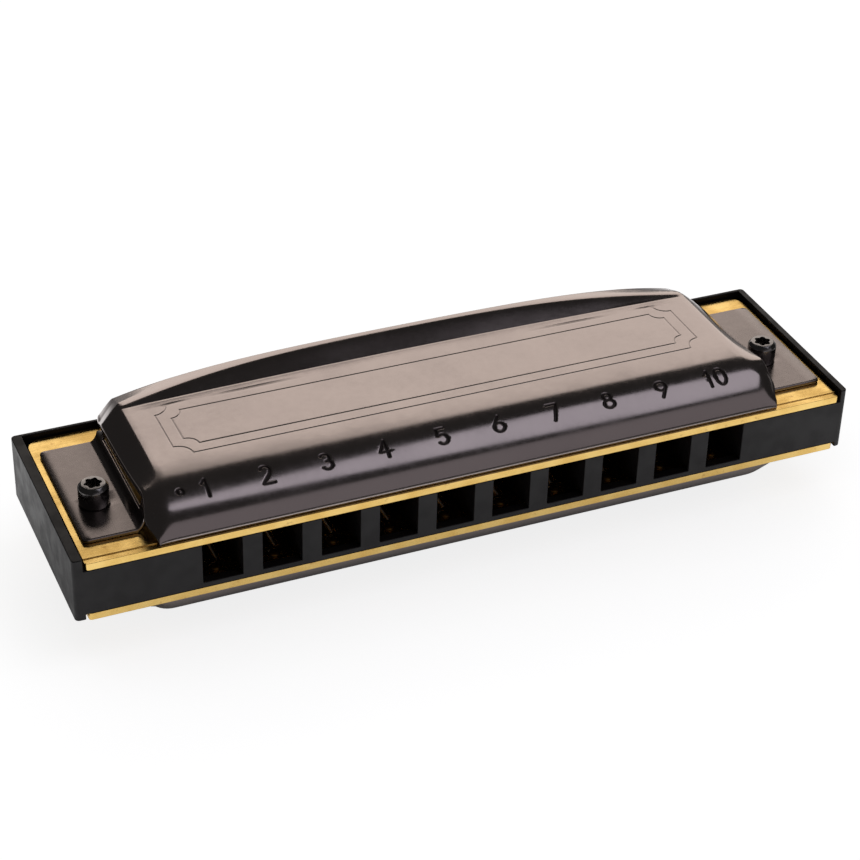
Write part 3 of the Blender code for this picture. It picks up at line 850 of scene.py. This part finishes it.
def build_rivet(node, material):
    """Brass rivet with a slightly domed, hammered head on both ends."""
    x, y, foot, top, _ = upright_box(node)
    head, r = 0.34, 0.79
    depths = [(0.0, 0.0), (0.3, 0.012), (0.55, 0.06), (0.7, 0.14), (0.775, 0.22), (r, 0.28)]
    depths += [(r - 0.02, head), (0.5, head)]
    profile = [(radius, top - depth) for radius, depth in depths]
    mirrored = [(radius, foot + top - height) for radius, height in profile[::-1]]
    made = lathe(node + "_detail", profile + mirrored, 40, material, (x, y))
    return settle(made, node, ROOT)


def build_bolt(node, material):
    """Tall cap bolt: chamfered head with a six-lobe socket, shank down to the nut."""
    x, y, foot, top, r = upright_box(node)
    seat = top - 2.8
    profile = [(0.0, top), (1.40, top), (1.455, top - 0.012), (1.50, top - 0.045)]
    profile += [(r - 0.085, top - 0.36), (r - 0.02, top - 0.45), (r, top - 0.55)]
    profile += [(r, seat + 0.12), (r - 0.03, seat + 0.04), (r - 0.1, seat), (1.0, seat)]
    profile += [(1.0, foot + 0.34), (0.95, foot + 0.28), (0.72, foot + 0.02), (0.66, foot), (0.0, foot)]
    bolt = lathe(node + "_detail", profile, 96, material, (x, y), crease=60.0)
    lobes = round_outline(x, y, 96, 0.0, lambda turn: 0.98 * (1 + 0.13 * math.cos(6 * turn)))
    subtract(bolt, [prism(lobes, top - 1.4, top + 1.0)])
    soften(bolt, 0.045, 2, angle=50.0)
    return settle(bolt, node, ROOT)


def build_nut(node, material):
    """Hexagon nut with rounded corners and a countersunk bore."""
    x, y, z0, z1, half_x = upright_box(node)
    half_y = box_mm(node)[1][1] - y
    # the box tells which way the corners point
    turned, corner = (math.pi / 6, half_y) if half_y > half_x else (0.0, half_x)
    hexagon = prism(round_outline(x, y, 6, turned, lambda turn: corner), z0, z1)
    nut = from_builder(node + "_detail", hexagon, material)
    bore, sink = bmesh.new(), bmesh.new()
    add_rod(bore, x, y, z0 - 1, z1 + 1, 1.06, 48)
    add_rod(sink, x, y, z0 - 0.3, z0 + 0.3, 1.45, 48, 0.85)
    subtract(nut, [bore, sink])
    soften(nut, 0.09, 3, angle=40.0)
    return settle(nut, node, ROOT)


def build_plate_screw(node, side, material):
    """Small pan-head screw with a straight slot."""
    x, y, foot, face, _ = upright_box(node)
    if side < 0:
        foot, face = face, foot
    head = 0.7
    depths = [(0.0, 0.0), (0.5, 0.012), (0.8, 0.06), (1.0, 0.15)]
    depths += [(1.12, 0.26), (1.18, 0.38), (1.19, 0.5), (1.19, head)]
    depths += [(0.6, head), (0.6, abs(face - foot) - 0.4), (0.0, abs(face - foot))]
    profile = [(radius, face - side * depth) for radius, depth in depths]
    if side < 0:
        profile = profile[::-1]
    screw = lathe(node + "_detail", profile, 48, material, (x, y), crease=50.0)
    tool = bmesh.new()
    z0, z1 = sorted((face - side * 0.3, face + side * 0.5))
    add_box(tool, (x - 2.0, y - 0.15, z0), (x + 2.0, y + 0.15, z1))
    subtract(screw, [tool])
    soften(screw, 0.03, 2, angle=50.0)
    return settle(screw, node, ROOT)


# ---- materials


class Nodes:
    """Short ways to add and join the nodes of one tree."""

    def __init__(self, tree):
        self.tree = tree

    def node(self, kind, **values):
        """A new node. Small letters name its settings, capitals its sockets."""
        made = self.tree.nodes.new("ShaderNode" + kind)
        for name, value in values.items():
            if name.islower():
                setattr(made, name, value)
            else:
                made.inputs[name.replace("_", " ")].default_value = value
        return made

    def wire(self, source, target):
        self.tree.links.new(source, target)


class Look(Nodes):
    """One Principled material with procedural helpers. Texture lengths are in millimetres."""

    def __init__(self, name):
        self.material = bpy.data.materials.new(name + "_look")
        self.material.use_nodes = True
        super().__init__(self.material.node_tree)
        self.shader = self.tree.nodes["Principled BSDF"]
        scale = self.node("VectorMath", operation="SCALE", Scale=1 / MM)
        self.wire(self.node("TexCoord").outputs["Object"], scale.inputs[0])
        self.mm = scale.outputs[0]

    def noise(self, size, detail=2.0, stretch=(1, 1, 1), offset=0.0):
        """Noise whose features are about size millimetres, drawn out along an axis by stretch."""
        place = (offset, offset * 0.7, offset * 1.3)
        mapping = self.node("Mapping", Scale=[1 / (size * s) for s in stretch], Location=place)
        texture = self.node("TexNoise", Scale=1.0, Detail=detail, Roughness=0.5)
        self.wire(self.mm, mapping.inputs["Vector"])
        self.wire(mapping.outputs["Vector"], texture.inputs["Vector"])
        return texture.outputs["Fac"]

    def remap(self, value, low, high, to_low, to_high):
        spans = {"From_Min": low, "From_Max": high, "To_Min": to_low, "To_Max": to_high}
        made = self.node("MapRange", interpolation_type="SMOOTHSTEP", **spans)
        self.wire(value, made.inputs["Value"])
        return made.outputs["Result"]

    def combine(self, operation, a, b):
        made = self.node("Math", operation=operation)
        self.fill(made.inputs, (a, b))
        return made.outputs[0]

    def blend(self, share, first, second):
        """Colour from first to second by share. A colour is three numbers or another blend."""
        made = self.node("Mix", data_type="RGBA")
        self.wire(share, made.inputs["Factor"])
        colours = [(*colour, 1.0) if isinstance(colour, tuple) else colour for colour in (first, second)]
        self.fill([socket for socket in made.inputs if socket.type == "RGBA"], colours)
        return next(socket for socket in made.outputs if socket.type == "RGBA")

    def fill(self, sockets, values):
        """Sets each socket to its number or colour, or joins it to its output socket."""
        for socket, value in zip(sockets, values):
            if isinstance(value, (float, tuple)):
                socket.default_value = value
            else:
                self.wire(value, socket)

    def bump(self, height, depth, below=None):
        """Bump of the given depth in millimetres, on top of an earlier one if given."""
        made = self.node("Bump", Strength=1.0, Distance=depth * MM)
        self.wire(height, made.inputs["Height"])
        if below is not None:
            self.wire(below, made.inputs["Normal"])
        return made.outputs["Normal"]

    def use(self, colour, roughness, normal, **constants):
        for name, value in (("Base Color", colour), ("Roughness", roughness), ("Normal", normal)):
            self.wire(value, self.shader.inputs[name])
        for name, value in constants.items():
            self.shader.inputs[name.replace("_", " ")].default_value = value
        return self.material


def enamel():
    """Black-plated pressed covers: a dark, slightly brown mirror with light orange peel and handling marks.

    A number on the mesh's points paints shade into the engraved marks, the vent walls and the inner side of
    the sheet, darkens the tabs, and adds roughness to all of them.
    """
    look = Look("cover_enamel")
    colour = look.blend(look.noise(9.0, 4), (0.375, 0.322, 0.31), (0.43, 0.372, 0.352))
    painted_shade_and_dulling = look.node("Attribute", attribute_name="painted_shade_and_dulling").outputs["Fac"]
    # painted shade: the point number blends the colour towards near black in grooves, vent walls and the
    # sheet's inner side, and darkens the tabs
    colour = look.blend(painted_shade_and_dulling, colour, (0.06, 0.05, 0.048))
    haze = look.remap(look.noise(6.5, 5, offset=4.0), 0.38, 0.72, 0.0, 0.045)
    scuffs = look.remap(look.noise(0.16, 2, stretch=(9, 1, 1), offset=9.0), 0.68, 0.80, 0.0, 0.05)
    grain = look.remap(look.noise(0.8, 3, offset=2.0), 0.25, 0.75, 0.135, 0.17)
    roughness = grain
    for more in (haze, scuffs, look.combine("MULTIPLY", painted_shade_and_dulling, 0.25)):
        roughness = look.combine("ADD", roughness, more)
    peel = look.bump(look.noise(0.75, 2), 0.0012)
    fine = look.bump(look.noise(0.11, 2, offset=5.0), 0.0003, peel)
    return look.use(colour, roughness, fine, Metallic=1.0)


def moulded_plastic():
    """Black moulded comb: satin, with flow marks along its length and a fine spark-eroded grain."""
    look = Look("comb_plastic")
    flow = look.noise(5.0, 4, stretch=(3, 1, 1))
    colour = look.blend(flow, (0.006, 0.0048, 0.0056), (0.0115, 0.009, 0.0102))
    rough = look.remap(look.noise(2.2, 4, offset=3.0), 0.3, 0.7, 0.40, 0.54)
    grain = look.bump(look.noise(0.14, 3), 0.0035)
    waves = look.bump(look.noise(2.4, 2, stretch=(2.5, 1, 1), offset=6.0), 0.006, grain)
    return look.use(colour, rough, waves, Specular_IOR_Level=0.34)


def plate_brass():
    """Milled brass plate: fine lines along its length, tarnish clouds and a few brown spots."""
    look = Look("plate_brass")
    clouds = look.remap(look.noise(3.4, 5), 0.32, 0.70, 0.0, 1.0)
    colour = look.blend(clouds, (0.95, 0.66, 0.23), (0.84, 0.54, 0.155))
    spots = look.remap(look.noise(1.1, 4, offset=7.0), 0.62, 0.76, 0.0, 0.55)
    colour = look.blend(spots, colour, (0.42, 0.21, 0.065))
    lines = look.noise(0.06, 3, stretch=(60, 1, 1), offset=3.0)
    vent_shade_and_tab_dulling = look.remap(clouds, 0.0, 1.0, 0.0, 0.09)
    roughness = look.combine("ADD", look.remap(lines, 0.3, 0.7, 0.15, 0.23), vent_shade_and_tab_dulling)
    milled = look.bump(lines, 0.0012)
    pits = look.bump(look.noise(0.22, 3, offset=8.0), 0.0016, milled)
    return look.use(colour, roughness, pits, Metallic=1.0)


def plain_metal(name, clouds, light, dark, marks, roughness, depth):
    """Metal with clouds of colour and fine marks. Clouds and marks are the settings of a noise."""
    look = Look(name)
    colour = look.blend(look.noise(**clouds), light, dark)
    lines = look.noise(detail=2, **marks)
    return look.use(colour, look.remap(lines, 0.3, 0.7, *roughness), look.bump(lines, depth), Metallic=1.0)


def rivet_brass():
    """Rivet heads: hammered brass, dulled by use."""
    clouds, dents = {"size": 0.5, "detail": 4}, {"size": 0.2, "offset": 4.0}
    colours = (0.20, 0.115, 0.035), (0.12, 0.066, 0.02)
    return plain_metal("rivet_brass", clouds, *colours, dents, (0.34, 0.46), 0.004)


def reed_brass():
    """Reed tongues: ground lengthwise, darker and redder than the plate."""
    clouds = {"size": 2.0, "detail": 4, "stretch": (1, 3, 1)}
    lines = {"size": 0.05, "stretch": (1, 50, 1), "offset": 2.0}
    colours = (0.42, 0.26, 0.085), (0.31, 0.18, 0.055)
    return plain_metal("reed_brass", clouds, *colours, lines, (0.22, 0.36), 0.0012)


def bright_steel():
    """Screws: bright steel with turning rings."""
    clouds, rings = {"size": 0.7, "detail": 4}, {"size": 0.05, "stretch": (25, 25, 1)}
    colours = (0.60, 0.58, 0.55), (0.42, 0.40, 0.375)
    return plain_metal("screw_steel", clouds, *colours, rings, (0.22, 0.36), 0.0015)


def black_steel():
    """Black-oxide steel with turning rings worn a little brighter in places."""
    look = Look("bolt_black_steel")
    worn = look.remap(look.noise(0.8, 4), 0.58, 0.75, 0.0, 1.0)
    colour = look.blend(worn, (0.26, 0.245, 0.24), (0.40, 0.375, 0.36))
    rings = look.noise(0.07, 2, stretch=(30, 30, 1), offset=2.0)
    roughness = look.remap(rings, 0.3, 0.7, 0.15, 0.24)
    skin = look.bump(look.noise(0.18, 3, offset=3.0), 0.0015, look.bump(rings, 0.0009))
    return look.use(colour, roughness, skin, Metallic=1.0)


def studio_floor():
    """White light table. Seen from below it is clear, so the underside can be looked at."""
    look = Look("studio_floor")
    colour = look.blend(look.noise(60.0, 3), (0.42, 0.42, 0.42), (0.38, 0.38, 0.38))
    glow = look.blend(look.noise(90.0, 3, offset=4.0), (0.97, 0.97, 0.97), (0.955, 0.955, 0.957))
    roughness = look.remap(look.noise(8.0, 3), 0.3, 0.7, 0.8, 0.9)
    material = look.use(colour, roughness, look.bump(look.noise(1.5, 3), 0.01), Specular_IOR_Level=0.1)
    # Contact shadow under the instrument. The camera sees it faintly on an even white floor; reflections
    # see it in full, on a floor that is bright only in a pool round the instrument (radii in millimetres).
    shade = look.node("AmbientOcclusion", samples=8, Distance=0.03)
    sight = look.node("LightPath")
    depth = look.combine("POWER", shade.outputs["AO"], 2.2)
    faint = look.remap(depth, 0.0, 1.0, 0.86, 1.0)
    lit = look.node("Mix")
    look.wire(sight.outputs["Is Camera Ray"], lit.inputs[0])
    reach = look.node("VectorMath", operation="LENGTH")
    look.wire(look.mm, reach.inputs[0])
    pool = look.remap(reach.outputs["Value"], 70.0, 130.0, 1.0, 0.1)
    look.wire(look.combine("MULTIPLY", depth, pool), lit.inputs[2])
    look.wire(faint, lit.inputs[3])
    look.wire(glow, look.shader.inputs["Emission Color"])
    look.wire(lit.outputs[0], look.shader.inputs["Emission Strength"])
    mix = look.node("MixShader")
    out = next(node for node in look.tree.nodes if node.type == "OUTPUT_MATERIAL")
    look.wire(look.node("NewGeometry").outputs["Backfacing"], mix.inputs["Fac"])
    look.wire(look.shader.outputs["BSDF"], mix.inputs[1])
    look.wire(look.node("BsdfTransparent").outputs["BSDF"], mix.inputs[2])
    look.wire(mix.outputs["Shader"], out.inputs["Surface"])
    return material


# ---- the whole instrument


def build_harmonica():
    coat, plastic, brass = enamel(), moulded_plastic(), plate_brass()
    tongue, dull_brass, oxide, steel = reed_brass(), rivet_brass(), black_steel(), bright_steel()
    build_comb(plastic)
    build_plate("upper_plate_detail", "upper_reed_plate", 1, brass)
    build_plate("lower_plate_detail", "lower_reed_plate", -1, brass)
    build_cover("upper_cover", 1, STAMP_LEVELS, coat)
    build_cover("lower_cover", -1, 0, coat)
    for number in range(len(HOLE_X)):
        tag = "%02d" % (number + 1)
        for kind in ("blow", "draw"):
            build_reed("%s_reed_%s" % (kind, tag), number, tongue)
            build_rivet("%s_rivet_%s" % (kind, tag), dull_brass)
    for label in ("left", "right"):
        build_bolt(label + "_bolt", oxide)
        build_nut(label + "_nut", oxide)
    for number in range(1, 6):
        build_plate_screw("upper_plate_screw_%d" % number, 1, steel)
        build_plate_screw("lower_plate_screw_%d" % number, -1, steel)


# ---- studio

FLOOR_RINGS = (0.0, 0.3, 0.8, 1.6, 3.0)
ROOM_GLOW, BACKDROP_GLOW = 0.03, 0.97
CAMERA_AT = (-99.90, -223.65, MID_Z + 165.50)
CAMERA_TURN = (0.415887662, 0.588310435, 0.0289141745)


def build_floor():
    """Flat round floor."""
    profile = [(radius / MM, 0.0) for radius in FLOOR_RINGS]
    floor = lathe("studio_floor", profile, 72, studio_floor(), (0.0, 0.0))


def add_panel(name, centre, size, power, colour, aim=(0.0, 0.0, 0.01)):
    """Rectangular soft light at centre, facing aim. Metres and watts."""
    data = bpy.data.lights.new(name, "AREA")
    data.shape = "RECTANGLE"
    data.size, data.size_y = size
    data.energy = power
    data.color = colour
    lamp = in_scene(name, data)
    lamp.location = centre
    lamp.rotation_euler = (Vector(aim) - Vector(centre)).to_track_quat("-Z", "Y").to_euler()
    lamp.visible_camera = False


def build_lights():
    add_panel("overhead_softbox", (0.50, -0.26, 1.0), (0.74, 0.57), 1.06, (0.87, 0.87, 1.0))
    size, radiance = (1.10, 0.90), 1.16
    power = radiance * math.pi * size[0] * size[1]
    back, level = (0.469, 1.004, 0.47), (0.160, 0.053, 0.47)
    add_panel("back_panel", back, size, power, (1.0, 0.92, 0.85), level)
    turn, lift, away = math.radians(22), math.radians(25), 1.3
    across = away * math.cos(lift)
    front = (across * math.sin(turn), -across * math.cos(turn), away * math.sin(lift))
    add_panel("front_fill", front, (1.6, 0.7), 0.85, (0.97, 0.92, 1.0))


def build_world():
    """A pale backdrop for the camera to see, in a room dark enough for black plating to look black."""
    world = bpy.data.worlds.new("studio")
    world.use_nodes = True
    backdrop = world.node_tree.nodes["Background"]
    backdrop.inputs["Color"].default_value = (1.0, 0.99, 0.985, 1.0)
    nodes = Nodes(world.node_tree)
    strength = nodes.node("MapRange", To_Min=ROOM_GLOW, To_Max=BACKDROP_GLOW)
    nodes.wire(nodes.node("LightPath").outputs["Is Camera Ray"], strength.inputs["Value"])
    nodes.wire(strength.outputs["Result"], backdrop.inputs["Strength"])
    bpy.context.scene.world = world


def build_camera():
    """Photographer's camera: 24 degrees left of the player's side and 34 degrees above the comb."""
    yaw, pitch, roll = CAMERA_TURN
    forward = Vector((math.sin(yaw) * math.cos(pitch), math.cos(yaw) * math.cos(pitch), -math.sin(pitch)))
    level = Vector((math.cos(yaw), -math.sin(yaw), 0.0))
    upright = level.cross(forward)
    right = level * math.cos(roll) + upright * math.sin(roll)
    up = upright * math.cos(roll) - level * math.sin(roll)
    data = bpy.data.cameras.new("camera")
    data.lens = 96.94
    data.sensor_width = 36.0
    data.clip_start, data.clip_end = 0.01, 20.0
    camera = in_scene("camera", data)
    turn = Matrix((right, up, -forward)).transposed().to_4x4()
    camera.matrix_world = Matrix.Translation(Vector(CAMERA_AT) * MM) @ turn
    bpy.context.scene.camera = camera


build_harmonica()
build_floor()
build_lights()
build_world()
build_camera()
bpy.context.scene.view_settings.view_transform = "Standard"
